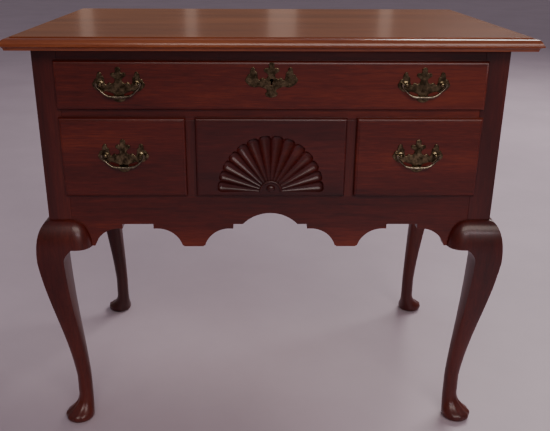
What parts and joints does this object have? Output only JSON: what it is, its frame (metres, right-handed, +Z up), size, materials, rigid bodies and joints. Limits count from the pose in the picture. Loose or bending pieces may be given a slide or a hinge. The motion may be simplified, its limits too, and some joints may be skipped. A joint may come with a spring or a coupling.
{
  "type": "lowboy",
  "caption": "Queen Anne style lowboy: wooden case with a moulded top, lipped drawers with bail pulls, a carved fan, a scalloped apron and cabriole legs on pad feet.",
  "frame": {"origin": "on the floor, in the middle of the whole piece's outline", "axes": "+X to the right of someone facing the drawers, +Y from the front to the back, +Z up"},
  "size_m": [0.878, 0.5598, 0.762],
  "materials": {
    "case_wood": "semi-gloss stained cherry",
    "top_wood": "polished stained cherry",
    "inner_wood": "unfinished poplar",
    "brass": "aged, with bright worn edges",
    "steel": "dull"
  },
  "bodies": {
    "case": {"top_board": "top_wood", "leg_front_left": "case_wood", "leg_front_right": "case_wood", "leg_rear_left": "case_wood", "leg_rear_right": "case_wood", "knee_block_front_left": "case_wood", "knee_block_front_right": "case_wood", "knee_block_side_front_left": "case_wood", "knee_block_side_front_right": "case_wood", "knee_block_side_rear_left": "case_wood", "knee_block_side_rear_right": "case_wood", "front_apron": "case_wood", "top_rail": "case_wood", "middle_rail": "case_wood", "side_panel_left": "case_wood", "side_panel_right": "case_wood", "back_panel": "inner_wood", "drawer_divider_left": "case_wood", "drawer_divider_right": "case_wood", "long_drawer_runners": "inner_wood", "long_drawer_guides": "inner_wood", "long_drawer_kickers": "inner_wood", "small_drawer_side_runners": "inner_wood", "small_drawer_side_guides": "inner_wood", "small_drawer_centre_runners": "inner_wood", "small_drawer_centre_guides": "inner_wood", "glue_blocks": "inner_wood", "top_screws": "steel"},
    "long_drawer": {"long_drawer_front": "case_wood", "long_drawer_sides": "inner_wood", "long_drawer_back": "inner_wood", "long_drawer_bottom": "inner_wood", "long_left_pull_plate": "brass", "long_left_pull_posts": "brass", "long_right_pull_plate": "brass", "long_right_pull_posts": "brass", "escutcheon": "brass", "drawer_lock": "steel"},
    "left_drawer": {"left_drawer_front": "case_wood", "left_drawer_sides": "inner_wood", "left_drawer_back": "inner_wood", "left_drawer_bottom": "inner_wood", "left_pull_plate": "brass", "left_pull_posts": "brass"},
    "fan_drawer": {"fan_drawer_front": "case_wood", "fan_drawer_sides": "inner_wood", "fan_drawer_back": "inner_wood", "fan_drawer_bottom": "inner_wood"},
    "right_drawer": {"right_drawer_front": "case_wood", "right_drawer_sides": "inner_wood", "right_drawer_back": "inner_wood", "right_drawer_bottom": "inner_wood", "right_pull_plate": "brass", "right_pull_posts": "brass"},
    "long_left_bail": {"long_left_pull_bail": "brass"},
    "long_right_bail": {"long_right_pull_bail": "brass"},
    "left_bail": {"left_pull_bail": "brass"},
    "right_bail": {"right_pull_bail": "brass"}
  },
  "joints": [
    {"name": "long_drawer_slide", "type": "slide", "parent": "case", "child": "long_drawer", "axis": [0, -1, 0], "range_m": [0, 0.34]},
    {"name": "left_drawer_slide", "type": "slide", "parent": "case", "child": "left_drawer", "axis": [0, -1, 0], "range_m": [0, 0.34]},
    {"name": "fan_drawer_slide", "type": "slide", "parent": "case", "child": "fan_drawer", "axis": [0, -1, 0], "range_m": [0, 0.34]},
    {"name": "right_drawer_slide", "type": "slide", "parent": "case", "child": "right_drawer", "axis": [0, -1, 0], "range_m": [0, 0.34]},
    {"name": "long_left_bail_swing", "type": "hinge", "parent": "long_drawer", "child": "long_left_bail", "pos_m": [-0.25525, -0.2574, 0.684], "axis": [-1, 0, 0], "range_deg": [0, 95]},
    {"name": "long_right_bail_swing", "type": "hinge", "parent": "long_drawer", "child": "long_right_bail", "pos_m": [0.25525, -0.2574, 0.684], "axis": [-1, 0, 0], "range_deg": [0, 95]},
    {"name": "left_bail_swing", "type": "hinge", "parent": "left_drawer", "child": "left_bail", "pos_m": [-0.25525, -0.2574, 0.561], "axis": [-1, 0, 0], "range_deg": [0, 95]},
    {"name": "right_bail_swing", "type": "hinge", "parent": "right_drawer", "child": "right_bail", "pos_m": [0.25525, -0.2574, 0.561], "axis": [-1, 0, 0], "range_deg": [0, 95]}
  ]
}
